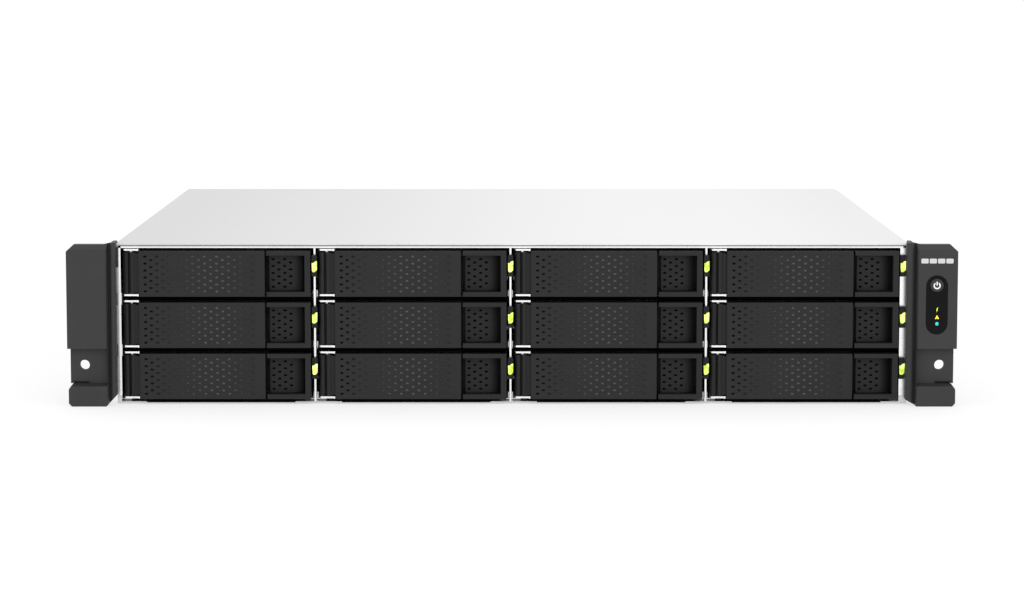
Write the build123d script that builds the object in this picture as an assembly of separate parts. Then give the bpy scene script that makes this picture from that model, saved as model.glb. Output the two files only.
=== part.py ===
from build123d import *
import os

# A two-unit rack storage server with twelve drive bays.
# Millimetres. X runs to the right, Z up, and the front faces -Y.
# The origin is the centre of the overall box on its bottom plane.

# Rack and chassis
PANEL_WIDTH = 482.6          # 19 inch rack panel
PANEL_HEIGHT = 88.9          # two rack units
RACK_HOLE_SPACING = 465.1    # across the rack posts
RACK_HOLE_Z = 22.225
RACK_HOLE_R = 2.75
EAR_FRONT_Y = -212.0
EAR_ZONE_Y = -207.0          # floor of the recess round the rack hole
EAR_BACK_Y = -203.0
EAR_INNER_X = 219.7          # inner end of the ears' flat front
EAR_GROOVE_Y = -204.8        # floor of the groove beside it
EAR_RIB_X = 218.0            # outer side of the rib beside the bays, and its front
EAR_RIB_Y = -207.6
EAR_BLOCK_Z0 = 31.6
FOOT_FRONT_Z = 11.0
FOOT_BACK_Z = 12.2
BAY_FRONT_Y = -204.0         # front plane of the tray handles
CHASSIS_FRONT_Y = -200.0
WING_Y1 = -192.5             # rear end of the ears' side wings
CHASSIS_REAR_Y = 193.0
REAR_LIMIT_Y = 212.0         # ends of the power supply handles
WALL_OUT_X = 215.7
SHEET = 1.2
COVER_T = 1.0
COVER_HALF_W = 216.9
COVER_TOP_Z = 87.8
LIP_Z = 85.4                 # underside of the front top lip

# Bays
COLUMNS = 4
ROWS = 3
TRAY_W = 102.4
COLUMN_PITCH = 106.7
FIRST_TRAY_X = -212.1        # left side of the first column of trays
ROW_PITCH = 28.1
FIRST_ROW_Z = 15.4           # centre of the bottom row
GAP_MID = (COLUMN_PITCH - TRAY_W) / 2
DRIVE_W = 101.6
DRIVE_H = 26.1
DRIVE_L = 147.0
DRIVE_HALF_H = DRIVE_H / 2
SLED_T = 0.4

# Tray front, in tray coordinates: x from the tray's left side,
# y from the handle's front plane, z from the row's centre
FRONT_HALF_H = 12.45
BARREL_X = 4.5
BARREL_Y = 5.9
BARREL_R = 4.4
BARREL_Z0 = -11.0
BARREL_Z1 = 11.6
PIN_R = 1.25
PIN_BORE_R = 1.30
LUG_T = 1.1
LUG_LOW_Z1 = -11.25          # top of the lower hinge lug
LUG_HIGH_Z0 = 12.45          # underside of the upper one
LUG_Y0 = 2.4                 # set back, so the panel's end swings past it
PIN_SEAT = 0.8               # depth of the pin's seat in each lug
PANEL_X0 = 9.0
PANEL_X1 = 77.6
PANEL_T = 2.0
RECESS_X0 = 78.6
RECESS_INNER_X1 = 99.3
RECESS_INNER_Z0 = -9.85
RECESS_INNER_Z1 = 10.05
PLATE_Y0 = 12.0
PLATE_Y1 = 14.0
SLED_Y1 = 166.0
DRIVE_Y0 = 18.0

# Inside
DIVIDER_Y1 = -38.0
BACKPLANE_Y0 = -30.0
BACKPLANE_T = 1.6
FAN_WALL_Y = -5.0
FAN_SIZE = 80.0
FAN_DEPTH = 25.0
FAN_Z = 43.5
FAN_XS = (-160.0, -50.0, 60.0)
FAN_BORE_R = 38.0
AXLE_R = 1.45
AXLE_BORE_R = 1.5
PSU_W = 73.5
PSU_H = 40.0
PSU_X0 = 139.0
PSU_Y0 = 8.0
PSU_ZS = (2.0, 44.0)
PSU_WALL_X = 136.0
PSU_FAN_DX = 21.0            # fan and inlet centres, from the supply's left side
PSU_INLET_DX = 57.0
PSU_INLET_DZ = 14.0
PSU_PLATE_T = 1.2
BOARD_Z0 = 6.0
BOARD_T = 1.6
PORT_DEPTH = 21.0
PORT_RECESS = 14.0
PORT_GAP = 0.3                # between a port and the rear sheet round it
VENT_X = (-209.0, -79.0)
SLOT_X = (-62.0, 60.0)
REAR_OPENINGS_Z = (29.5, 48.0, 56.0, 74.0)
NETWORK_PORTS = [(-196.0 + 18.0 * step, 16.0, 13.5, 12.0, 10.5) for step in range(4)]
DATA_PORTS = [(-118.0 + 18.0 * step, 15.0, 15.5, 13.0, 5.6) for step in range(2)]

# Window and button in the right ear
WINDOW_X = 230.1
WINDOW_Z = 55.6
WINDOW_HALF_W = 5.85
WINDOW_H = 32.1
BUTTON_Z = 66.2
BUTTON_R = 3.7

os.makedirs("parts", exist_ok=True)


def block(x0, x1, y0, y1, z0, z1):
    """A box between two opposite corners."""
    size = Box(x1 - x0, y1 - y0, z1 - z0)
    return Pos((x0 + x1) / 2, (y0 + y1) / 2, (z0 + z1) / 2) * size


def rod_x(x0, x1, y, z, r):
    """A cylinder along X."""
    return Pos((x0 + x1) / 2, y, z) * Rot(0, 90, 0) * Cylinder(r, x1 - x0)


def rod_y(x, y0, y1, z, r):
    """A cylinder along Y."""
    return Pos(x, (y0 + y1) / 2, z) * Rot(90, 0, 0) * Cylinder(r, y1 - y0)


def rod_z(x, y, z0, z1, r):
    """A cylinder along Z."""
    return Pos(x, y, (z0 + z1) / 2) * Cylinder(r, z1 - z0)


def front_prism(points, y0, y1):
    """A prism along Y with its outline in X and Z."""
    face = make_face(Polyline(*[(x, y0, z) for x, z in points], close=True))
    return extrude(face, y1 - y0, dir=(0, 1, 0))


def side_prism(points, x0, x1):
    """A prism along X with its outline in Y and Z."""
    face = make_face(Polyline(*[(x0, y, z) for y, z in points], close=True))
    return extrude(face, x1 - x0, dir=(1, 0, 0))


def fuse(shapes):
    """One solid from touching shapes."""
    result = shapes[0]
    for shape in shapes[1:]:
        result = result + shape
    return result


def cut(body, tools):
    """The body without any of the tools."""
    for tool in tools:
        body = body - tool
    return body


def save(name, *shapes):
    """Writes one node, as one solid or as a group of separate solids."""
    solids = [solid for shape in shapes for solid in shape.solids()]
    export_step(solids[0] if len(solids) == 1 else Compound(children=solids), f"parts/{name}.step")


def tray_left(column):
    return FIRST_TRAY_X + column * COLUMN_PITCH


def row_z(row):
    return FIRST_ROW_Z + row * ROW_PITCH


def bays():
    """Bay numbers 1 to 12, row by row from the top left, with their places."""
    number = 0
    for row in reversed(range(ROWS)):
        for column in range(COLUMNS):
            number += 1
            yield number, Pos(tray_left(column), BAY_FRONT_Y, row_z(row))


# ---------------------------------------------------------------- trays

def tray_bezel():
    """The moulded front: a back plate with a window, and the latch recess at its right."""
    plate = block(0, TRAY_W, PLATE_Y0, PLATE_Y1, -FRONT_HALF_H, FRONT_HALF_H)
    window = block(12, 74, PLATE_Y0 - 1, PLATE_Y1 + 1, -8.5, 8.5)
    recess = block(RECESS_X0, TRAY_W, 0, PLATE_Y0, -FRONT_HALF_H, FRONT_HALF_H)
    pocket = block(RECESS_X0 - 1, RECESS_INNER_X1, -1, PLATE_Y0 - 0.01, RECESS_INNER_Z0, RECESS_INNER_Z1)
    back = block(RECESS_X0 + 3, RECESS_INNER_X1 - 3, 5, PLATE_Y1 + 1, -7, 7)
    return cut(plate - window + (recess - pocket), [back])


def hinge_lugs():
    """Two steel lugs that hold the handle's pin, and the pin between them."""
    low = block(0.9, 8.9, LUG_Y0, PLATE_Y0, LUG_LOW_Z1 - LUG_T, LUG_LOW_Z1)
    high = block(0.9, 8.9, LUG_Y0, PLATE_Y1 + 0.8, LUG_HIGH_Z0, LUG_HIGH_Z0 + LUG_T)
    pin = rod_z(BARREL_X, BARREL_Y, LUG_LOW_Z1 - PIN_SEAT, LUG_HIGH_Z0 + PIN_SEAT, PIN_R)
    return [low - pin, high - pin, pin]


def tray_sled():
    """The thin steel sled: a windowed front web, two side rails and a low rear strap."""
    web = block(0, TRAY_W, PLATE_Y1, PLATE_Y1 + 0.8, -FRONT_HALF_H, FRONT_HALF_H)
    web = web - block(14, 88, PLATE_Y1 - 1, PLATE_Y1 + 2, -8, 8)
    left = block(0, SLED_T, PLATE_Y1 + 0.8, SLED_Y1, -DRIVE_HALF_H, 9)
    right = block(TRAY_W - SLED_T, TRAY_W, PLATE_Y1 + 0.8, SLED_Y1, -DRIVE_HALF_H, 9)
    strap = block(SLED_T, TRAY_W - SLED_T, SLED_Y1 - 1, SLED_Y1, -DRIVE_HALF_H, -11)
    slots = []
    for y in (52, 92, 132):
        slots.append(block(-1, TRAY_W + 1, y, y + 22, -1, 4))
    return cut(fuse([web, left, right, strap]), slots)


def tray_drive():
    """A 3.5 inch drive with a raised lid and relieved lower edges."""
    x0 = SLED_T
    x1 = SLED_T + DRIVE_W
    body = block(x0, x1, DRIVE_Y0, DRIVE_Y0 + DRIVE_L, -DRIVE_HALF_H, DRIVE_HALF_H - 1.2)
    lid = block(x0 + 2, x1 - 2, DRIVE_Y0 + 2, DRIVE_Y0 + DRIVE_L - 9, DRIVE_HALF_H - 1.2, DRIVE_HALF_H)
    port = block(x0 + 8, x0 + 52, DRIVE_Y0 + DRIVE_L - 6, DRIVE_Y0 + DRIVE_L + 1, -9.6, -3.4)
    return body + lid - port


def tray_screws():
    """Four low-head screws through the rails into the drive's side holes."""
    solids = []
    z = -DRIVE_HALF_H + 6.35
    for y in (DRIVE_Y0 + 28.5, DRIVE_Y0 + 130.1):
        solids.append(rod_x(-0.8, 0, y, z, 2.4))
        solids.append(rod_x(TRAY_W, TRAY_W + 0.8, y, z, 2.4))
    return solids


def tray_handle():
    """The swing-out lever: barrel, arm, front panel with stiffening flanges, catch."""
    barrel = rod_z(BARREL_X, BARREL_Y, BARREL_Z0, BARREL_Z1, BARREL_R)
    arm = block(BARREL_X, PANEL_X0 + 4, PANEL_T - 0.3, 8.0, BARREL_Z0 + 0.6, BARREL_Z1 - 0.6)
    panel = block(PANEL_X0, PANEL_X1, 0, PANEL_T, -FRONT_HALF_H, FRONT_HALF_H)
    panel = fillet(panel.edges().filter_by(Axis.X).group_by(Axis.Y)[0], 0.5)
    top = block(PANEL_X0 + 3, PANEL_X1, PANEL_T, 7.5, FRONT_HALF_H - 1.2, FRONT_HALF_H)
    bottom = block(PANEL_X0 + 3, PANEL_X1, PANEL_T, 7.5, -FRONT_HALF_H, -FRONT_HALF_H + 1.2)
    catch = block(PANEL_X1 - 2.4, PANEL_X1, PANEL_T, 9.5, -3, 3)
    bore = rod_z(BARREL_X, BARREL_Y, BARREL_Z0 - 1, BARREL_Z1 + 1, PIN_BORE_R)
    return fuse([barrel, arm, panel, top, bottom, catch]) - bore


def tray_latch():
    """The push paddle in the recess: a slotted plate that curves back at its right."""
    clear = 0.25
    x0 = RECESS_X0 + 1.2
    x1 = RECESS_INNER_X1 - clear
    z0 = RECESS_INNER_Z0 + clear
    z1 = RECESS_INNER_Z1 - clear
    front = ThreePointArc((x0, 4.6), (x0 + 13.0, 5.6), (x1, 8.4))
    right = Line((x1, 8.4), (x1, 9.8))
    back = ThreePointArc((x1, 9.8), (x0 + 12.5, 7.1), (x0, 6.0))
    left = Line((x0, 6.0), (x0, 4.6))
    plate = Pos(0, 0, z0) * extrude(make_face([front, right, back, left]), z1 - z0)
    slots = []
    for column in range(3):
        for step in range(5 - column % 2):
            z = -7.6 + 3.8 * step + 1.9 * (column % 2) + 0.1
            x = x0 + 2.4 + 3.17 * column
            slots.append(block(x - 0.95, x + 0.95, 0, PLATE_Y0, z - 0.55, z + 0.55))
    return cut(plate, slots)


def save_trays():
    tray = [tray_bezel(), tray_sled(), tray_drive()] + hinge_lugs() + tray_screws()
    handle = tray_handle()
    latch = tray_latch()
    for number, place in bays():
        save(f"tray_{number:02d}", *[place * solid for solid in tray])
        save(f"tray_handle_{number:02d}", place * handle)
        save(f"tray_latch_{number:02d}", place * latch)


# ---------------------------------------------------------------- chassis

def chassis_base():
    """Folded tray with its front flanges, and the divider, shelf and header of the power supply bay."""
    wall_top = COVER_TOP_Z - COVER_T
    wall_in = WALL_OUT_X - SHEET
    rear_y = CHASSIS_REAR_Y - SHEET
    flange_y1 = CHASSIS_FRONT_Y + SHEET
    sheets = [
        block(-WALL_OUT_X, WALL_OUT_X, CHASSIS_FRONT_Y, rear_y, 0, SHEET),
        block(PSU_WALL_X + SHEET, WALL_OUT_X, rear_y, CHASSIS_REAR_Y, 0, SHEET),
        block(-WALL_OUT_X, -wall_in, CHASSIS_FRONT_Y, rear_y, SHEET, wall_top),
        block(wall_in, WALL_OUT_X, CHASSIS_FRONT_Y, CHASSIS_REAR_Y, SHEET, wall_top),
        block(-wall_in, -213.3, CHASSIS_FRONT_Y, flange_y1, SHEET, LIP_Z),
        block(211.4, wall_in, CHASSIS_FRONT_Y, flange_y1, SHEET, LIP_Z),
    ]
    for row in range(ROWS - 1):
        edge_z = row_z(row) + ROW_PITCH / 2
        sheets.append(block(-213.3, -212.7, CHASSIS_FRONT_Y, flange_y1, edge_z - 3.3, edge_z + 3.3))
    tray = cut(fuse(sheets), side_holes())
    shelf_z = PSU_ZS[0] + PSU_H + 0.4
    divider = block(PSU_WALL_X, PSU_WALL_X + SHEET, 2, rear_y, SHEET, wall_top)
    shelf = block(PSU_WALL_X + SHEET, wall_in, 2, rear_y, shelf_z, shelf_z + SHEET)
    header_z = PSU_ZS[1] + PSU_H + 0.4
    header = block(PSU_WALL_X + SHEET, wall_in, rear_y - 5, CHASSIS_REAR_Y, header_z, wall_top)
    return [tray, divider, shelf, header]


def side_holes():
    """Air slots in the left wall and the rail holes in both."""
    tools = []
    for step in range(10):
        y = -20 + step * 16
        for z in (24, 44, 64):
            tools.append(block(-WALL_OUT_X - 1, -WALL_OUT_X + 2, y, y + 11, z, z + 2.4))
    for side in (-1, 1):
        x0, x1 = sorted((side * (WALL_OUT_X - 3), side * (WALL_OUT_X + 3)))
        for y in (-150, 100):
            tools.append(rod_x(x0, x1, y, PANEL_HEIGHT / 2, 2.25))
    return tools


def top_cover():
    """The lid, each fold a slab: flat top, side lips behind the ears, rear lip, and thumb screws."""
    z0 = COVER_TOP_Z - COVER_T
    front_y = CHASSIS_FRONT_Y - 0.2
    rear_y = CHASSIS_REAR_Y + 0.1
    lip_y0 = WING_Y1 + 0.4
    lip_x = WALL_OUT_X + 0.2
    nose_x = WALL_OUT_X - 0.1
    nose = block(-nose_x, nose_x, front_y, lip_y0, z0, COVER_TOP_Z)
    nose = fillet(nose.edges().filter_by(Axis.X).group_by(Axis.Z)[-1].group_by(Axis.Y)[0], 0.6)
    slabs = [
        nose,
        block(-lip_x, lip_x, lip_y0, rear_y + COVER_T, z0, COVER_TOP_Z),
        block(-COVER_HALF_W, -lip_x, lip_y0, CHASSIS_REAR_Y, COVER_TOP_Z - 11, COVER_TOP_Z),
        block(lip_x, COVER_HALF_W, lip_y0, CHASSIS_REAR_Y, COVER_TOP_Z - 11, COVER_TOP_Z),
        block(-WALL_OUT_X, PSU_WALL_X - 2, rear_y, rear_y + COVER_T, COVER_TOP_Z - 8, z0),
    ]
    screws = []
    for x in (-180, -30, 120):
        y0 = rear_y + COVER_T
        head = rod_y(x, y0, y0 + 6.0, COVER_TOP_Z - 4.6, 3.2)
        slot = block(x - 2.6, x + 2.6, y0 + 5.0, y0 + 7.0, COVER_TOP_Z - 5.0, COVER_TOP_Z - 4.2)
        screws.append(head - slot)
    return slabs + screws


def drive_cage():
    """Front top lip and the three upright dividers between the columns of bays."""
    lip = block(-213.2, 213.2, CHASSIS_FRONT_Y, CHASSIS_FRONT_Y + 14, LIP_Z, LIP_Z + 1.1)
    solids = [lip]
    for column in range(1, COLUMNS):
        x = tray_left(column) - GAP_MID
        plate = block(x - SHEET / 2, x + SHEET / 2, CHASSIS_FRONT_Y, DIVIDER_Y1, SHEET, LIP_Z)
        windows = []
        for row in range(ROWS):
            for step in range(3):
                y = -160 + step * 38
                windows.append(block(x - 1, x + 1, y, y + 24, row_z(row) - 2, row_z(row) + 6))
        solids.append(cut(plate, windows))
    return solids


def bay_guides():
    """Angle rails under both sides of every tray."""
    thick = 0.8
    y0 = CHASSIS_FRONT_Y + 6
    solids = []
    for row in range(ROWS):
        ledge_z1 = row_z(row) - DRIVE_HALF_H - 0.1
        ledge_z0 = ledge_z1 - thick
        for column in range(COLUMNS):
            left_face = tray_left(column) - GAP_MID + SHEET / 2
            right_face = tray_left(column) + TRAY_W + GAP_MID - SHEET / 2
            if column == 0:
                left_face = -WALL_OUT_X + SHEET
            if column == COLUMNS - 1:
                right_face = WALL_OUT_X - SHEET
            in_left = tray_left(column) + 3.5
            in_right = tray_left(column) + TRAY_W - 3.5
            for face, inner, side in ((left_face, in_left, 1), (right_face, in_right, -1)):
                x0, x1 = sorted((face, inner))
                ledge = block(x0, x1, y0, DIVIDER_Y1, ledge_z0, ledge_z1)
                x0, x1 = sorted((face, face + side * thick))
                solids.append(ledge + block(x0, x1, y0, DIVIDER_Y1, ledge_z1, ledge_z1 + 3.4))
    return solids


def light_pipes():
    """A holder and lens in front of each divider edge, right of its bay."""
    solids = []
    half_w = 1.55
    for row in range(ROWS):
        for column in range(COLUMNS):
            x = tray_left(column) + TRAY_W + GAP_MID
            z = row_z(row)
            holder = block(x - half_w, x + half_w, CHASSIS_FRONT_Y - 3.2, CHASSIS_FRONT_Y, z - 1.5, z + 10.2)
            lens = block(x - half_w, x + half_w, CHASSIS_FRONT_Y - 4.2, CHASSIS_FRONT_Y - 3.2, z + 1.0, z + 6.8)
            solids.append(holder)
            solids.append(lens)
    return solids


# ---------------------------------------------------------------- inside

def backplane():
    """The drive board with air slots between the rows, and one socket for each bay."""
    y1 = BACKPLANE_Y0 + BACKPLANE_T
    board = block(-213, 213, BACKPLANE_Y0, y1, 4, 84)
    slots = []
    for column in range(COLUMNS):
        for row in range(ROWS):
            x = tray_left(column) + 12
            slots.append(block(x, x + 70, BACKPLANE_Y0 - 1, y1 + 1, row_z(row) + 1, row_z(row) + 11))
    sockets = []
    for number, place in bays():
        socket_y0 = SLED_Y1 + 0.6
        socket_y1 = BACKPLANE_Y0 - BAY_FRONT_Y
        body = block(10, 50, socket_y0, socket_y1, -9, -3.8)
        tongue_slot = block(12, 48, socket_y0 - 1, socket_y0 + 4, -7.2, -5.6)
        sockets.append(place * (body - tongue_slot))
    return [cut(board, slots)] + sockets


def fan_wall():
    """The cross wall with three fan openings, and the square frames of the three fans."""
    wall = block(-214, PSU_WALL_X, FAN_WALL_Y, FAN_WALL_Y + SHEET, SHEET, 86)
    frames = []
    half = FAN_SIZE / 2
    y0 = FAN_WALL_Y + SHEET
    for x in FAN_XS:
        wall = wall - rod_y(x, FAN_WALL_Y - 1, y0 + 1, FAN_Z, FAN_BORE_R)
        frame = block(x - half, x + half, y0, y0 + FAN_DEPTH, FAN_Z - half, FAN_Z + half)
        frame = frame - rod_y(x, y0 - 1, y0 + FAN_DEPTH + 1, FAN_Z, FAN_BORE_R)
        hub = rod_y(x, y0 + FAN_DEPTH - 4, y0 + FAN_DEPTH, FAN_Z, 17)
        struts = [hub]
        for step in range(4):
            turn = Pos(x, 0, FAN_Z) * Rot(0, 45 + 90 * step, 0)
            struts.append(turn * block(0, FAN_BORE_R + 1, y0 + FAN_DEPTH - 3, y0 + FAN_DEPTH, -2, 2))
        axle = rod_y(x, y0 + 8, y0 + FAN_DEPTH - 4, FAN_Z, AXLE_R)
        frames.append(fuse([frame] + struts + [axle]))
    return [wall] + frames


def rotor(x, y0, z, depth, hub_r, tip_r, mouth):
    """A fan rotor along Y: a hub with pitched blades and a blind bore that opens to mouth, 1 or -1."""
    blades = 7
    hub = rod_y(x, y0, y0 + depth, z, hub_r)
    parts = [hub]
    for step in range(blades):
        blade = Box(tip_r - hub_r + 2, 1.2, depth * 0.72)
        pitched = Pos((tip_r + hub_r) / 2 - 1, 0, 0) * Rot(38, 0, 0) * blade
        spin = Pos(x, y0 + depth / 2, z) * Rot(0, 360 * step / blades, 0) * Rot(90, 0, 0)
        parts.append(spin * pitched)
    cap_t = 1.5
    bore = rod_y(x, y0, y0 + depth, z, AXLE_BORE_R)
    cap_y = y0 if mouth > 0 else y0 + depth - cap_t
    return fuse(parts) - bore + rod_y(x, cap_y, cap_y + cap_t, z, AXLE_BORE_R + 1)


def rear_port(x0, z0, width, height, mouth_w, mouth_h):
    """A socket shell on the board's rear edge: a back block, and a wall on each side of its mouth."""
    x1 = x0 + width
    z1 = z0 + height
    side = (width - mouth_w) / 2
    rim = (height - mouth_h) / 2
    y0 = CHASSIS_REAR_Y - PORT_DEPTH
    y1 = CHASSIS_REAR_Y - PORT_RECESS
    y2 = CHASSIS_REAR_Y
    return [
        block(x0, x1, y0, y1, z0, z1),
        block(x0, x1, y1, y2, z0, z0 + rim),
        block(x0, x1, y1, y2, z1 - rim, z1),
        block(x0, x0 + side, y1, y2, z0 + rim, z1 - rim),
        block(x1 - side, x1, y1, y2, z0 + rim, z1 - rim),
    ]


def mainboard():
    """The board on its stand-offs, with chips, sockets and the rear port blocks."""
    top = BOARD_Z0 + BOARD_T
    solids = [block(-206, 128, 34, 186, BOARD_Z0, top)]
    for x in (-198, -40, 120):
        for y in (42, 178):
            solids.append(rod_z(x, y, SHEET, BOARD_Z0, 3))
    for x, y, side in ((40, 80, 22), (84, 120, 14), (-170, 70, 18)):
        solids.append(block(x, x + side, y, y + side, top, top + 2.2))
    for step in range(5):
        solids.append(rod_z(-110 + step * 11, 176, top, top + 12, 4))
    for x, width, height, mouth_w, mouth_h in NETWORK_PORTS + DATA_PORTS:
        solids.extend(rear_port(x, top, width, height, mouth_w, mouth_h))
    return solids


def heatsink():
    """A finned heatsink over the processor."""
    top = BOARD_Z0 + BOARD_T
    base = block(-60, 10, 78, 158, top, top + 8)
    fins = [base]
    for step in range(18):
        x = -60 + step * (70 - 1.0) / 17
        fins.append(block(x, x + 1.0, 78, 158, top + 8, top + 38))
    return fuse(fins)


def memory_modules():
    """Four memory modules standing in their sockets."""
    top = BOARD_Z0 + BOARD_T
    solids = []
    for step in range(4):
        x = -100 + step * 9
        solids.append(block(x, x + 6, 44, 172, top, top + 6))
        solids.append(block(x + 2.3, x + 3.7, 46, 170, top + 6, top + 32))
    return solids


def port_surround(y0, y1, z1):
    """The rear sheet's piers between the port cut-outs, and its lintels over them, up to z1."""
    top = BOARD_Z0 + BOARD_T
    low = top - PORT_GAP
    edge = -WALL_OUT_X
    strips = []
    for x, width, height, _, _ in NETWORK_PORTS + DATA_PORTS:
        x0 = x - PORT_GAP
        x1 = x + width + PORT_GAP
        strips.append(block(edge, x0, y0, y1, low, z1))
        strips.append(block(x0, x1, y0, y1, top + height + PORT_GAP, z1))
        edge = x1
    return strips + [block(edge, PSU_WALL_X + SHEET, y0, y1, low, z1)]


def rear_panel():
    """The rear sheet beside the power supplies, in strips round its openings, with its grille and blanks."""
    y0 = CHASSIS_REAR_Y - SHEET
    y1 = CHASSIS_REAR_Y
    left = -WALL_OUT_X
    right = PSU_WALL_X + SHEET
    low, shelf_z0, shelf_z1, high = REAR_OPENINGS_Z
    sheet = [
        block(left, right, y0, y1, 0, BOARD_Z0 + BOARD_T - PORT_GAP),
        block(left, VENT_X[0], y0, y1, low, high),
        block(VENT_X[1], SLOT_X[0], y0, y1, low, high),
        block(SLOT_X[1], right, y0, y1, low, high),
        block(SLOT_X[0], SLOT_X[1], y0, y1, shelf_z0, shelf_z1),
        block(left, right, y0, y1, high, COVER_TOP_Z - COVER_T),
    ]
    blanks = []
    for z0, z1 in ((low, shelf_z0), (shelf_z1, high)):
        blanks.append(block(SLOT_X[0] - 2, SLOT_X[1] + 2, y1, y1 + 1, z0 - 1.8, z1 + 1.8))
    return sheet + port_surround(y0, y1, low) + [vent_grille(y0 + 0.2)] + blanks


def vent_grille(y0):
    """A thin insert with staggered hexagonal holes."""
    thick = 0.8
    plate = block(VENT_X[0], VENT_X[1], y0, y0 + thick, REAR_OPENINGS_Z[0], REAR_OPENINGS_Z[-1])
    cells = []
    for row in range(6):
        for column in range(15):
            x = -204 + column * 8.0 + 4.0 * (row % 2)
            z = 34 + row * 7.0
            hexagon = Rot(90, 0, 0) * extrude(RegularPolygon(3.1, 6), thick * 2, both=True)
            cells.append(Pos(x, y0, z) * hexagon)
    return cut(plate, cells)


# ---------------------------------------------------------------- power supplies

def psu_shell(z0):
    """The sheet case's four sides, open at the rear, and its inner end with air slots."""
    x0 = PSU_X0
    x1 = PSU_X0 + PSU_W
    y0 = PSU_Y0 + SHEET
    y1 = CHASSIS_REAR_Y - PSU_PLATE_T
    z1 = z0 + PSU_H
    slots = []
    for step in range(6):
        x = x0 + 8 + step * 10.5
        slots.append(block(x, x + 6, PSU_Y0 - 1, y0 + 1, z0 + 8, z0 + 32))
    return [
        cut(block(x0, x1, PSU_Y0, y0, z0, z1), slots),
        block(x0, x1, y0, y1, z0, z0 + SHEET),
        block(x0, x1, y0, y1, z1 - SHEET, z1),
        block(x0, x0 + SHEET, y0, y1, z0 + SHEET, z1 - SHEET),
        block(x1 - SHEET, x1, y0, y1, z0 + SHEET, z1 - SHEET),
    ]


def psu_inlet(z0):
    """The mains inlet's socket block and its three pins."""
    x = PSU_X0 + PSU_INLET_DX
    z = z0 + PSU_INLET_DZ
    y1 = CHASSIS_REAR_Y
    body = block(x - 14, x + 14, y1 - 22, y1, z - 11, z + 11)
    solids = [body - block(x - 12, x + 12, y1 - 17, y1 + 1, z - 8.5, z + 8.5)]
    for dx, dz in ((-7, -2), (0, 2), (7, -2)):
        solids.append(block(x + dx - 1, x + dx + 1, y1 - 17, y1 - 3, z + dz - 2, z + dz + 2))
    return solids


def psu_plate(z0):
    """The rear plate, with the fan's opening and a window for the inlet."""
    y0 = CHASSIS_REAR_Y - PSU_PLATE_T
    plate = block(PSU_X0, PSU_X0 + PSU_W, y0, CHASSIS_REAR_Y, z0, z0 + PSU_H)
    vent = rod_y(PSU_X0 + PSU_FAN_DX, y0 - 1, CHASSIS_REAR_Y + 1, z0 + PSU_H / 2, 17.2)
    x = PSU_X0 + PSU_INLET_DX
    z = z0 + PSU_INLET_DZ
    window = block(x - 14, x + 14, y0 - 1, CHASSIS_REAR_Y + 1, z - 11, z + 11)
    return cut(plate, [vent, window])


def psu_motor(z0):
    """The fan's motor seat on its bridge, with the axle."""
    x = PSU_X0 + PSU_FAN_DX
    z = z0 + PSU_H / 2
    y0 = CHASSIS_REAR_Y - 20.6
    seat = rod_y(x, y0, y0 + 2, z, 12)
    bridge = block(PSU_X0 + 1, PSU_X0 + 40, y0, y0 + 2, z - 2.5, z + 2.5)
    axle = rod_y(x, y0 + 2, y0 + 12.6, z, AXLE_R)
    return fuse([seat, bridge, axle])


def psu_handle(z0):
    """An upright strap handle: two legs and the grip."""
    x0 = PSU_X0 + 38.6
    x1 = x0 + 3.6
    grip_y = REAR_LIMIT_Y - 3
    return [
        block(x0, x1, CHASSIS_REAR_Y, grip_y, z0 + 3, z0 + 6),
        block(x0, x1, CHASSIS_REAR_Y, grip_y, z0 + 34, z0 + 37),
        block(x0, x1, grip_y, REAR_LIMIT_Y, z0 + 3, z0 + 37),
    ]


def psu_hinge(z0):
    """Two ears and the rod that carries the release lever."""
    y0 = CHASSIS_REAR_Y
    ears = []
    for x in (PSU_X0 + 43, PSU_X0 + 70):
        ears.append(block(x, x + 2, y0, y0 + 7, z0 + 30.5, z0 + 35.5))
    return fuse(ears + [rod_x(PSU_X0 + 43, PSU_X0 + 72, y0 + 5, z0 + 33, 1.2)])


def power_supply(z0):
    """A slide-in power supply without its fan rotor and release lever."""
    ends = [psu_plate(z0), psu_motor(z0), psu_hinge(z0)]
    return psu_shell(z0) + ends + psu_inlet(z0) + psu_handle(z0)


def power_supply_latch(z0):
    """The release lever: a barrel on the hinge rod, with a thumb tab below."""
    x0 = PSU_X0
    y = CHASSIS_REAR_Y + 5
    z = z0 + 33
    barrel = rod_x(x0 + 46, x0 + 69, y, z, 2.6)
    tab = block(x0 + 46, x0 + 69, y - 1.2, y + 1.2, z - 5.8, z)
    pad = block(x0 + 48, x0 + 67, y - 1.2, y + 5, z - 7.4, z - 5.0)
    return fuse([barrel, tab, pad]) - rod_x(x0 + 40, x0 + 74, y, z, 1.25)


# ---------------------------------------------------------------- ears

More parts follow.
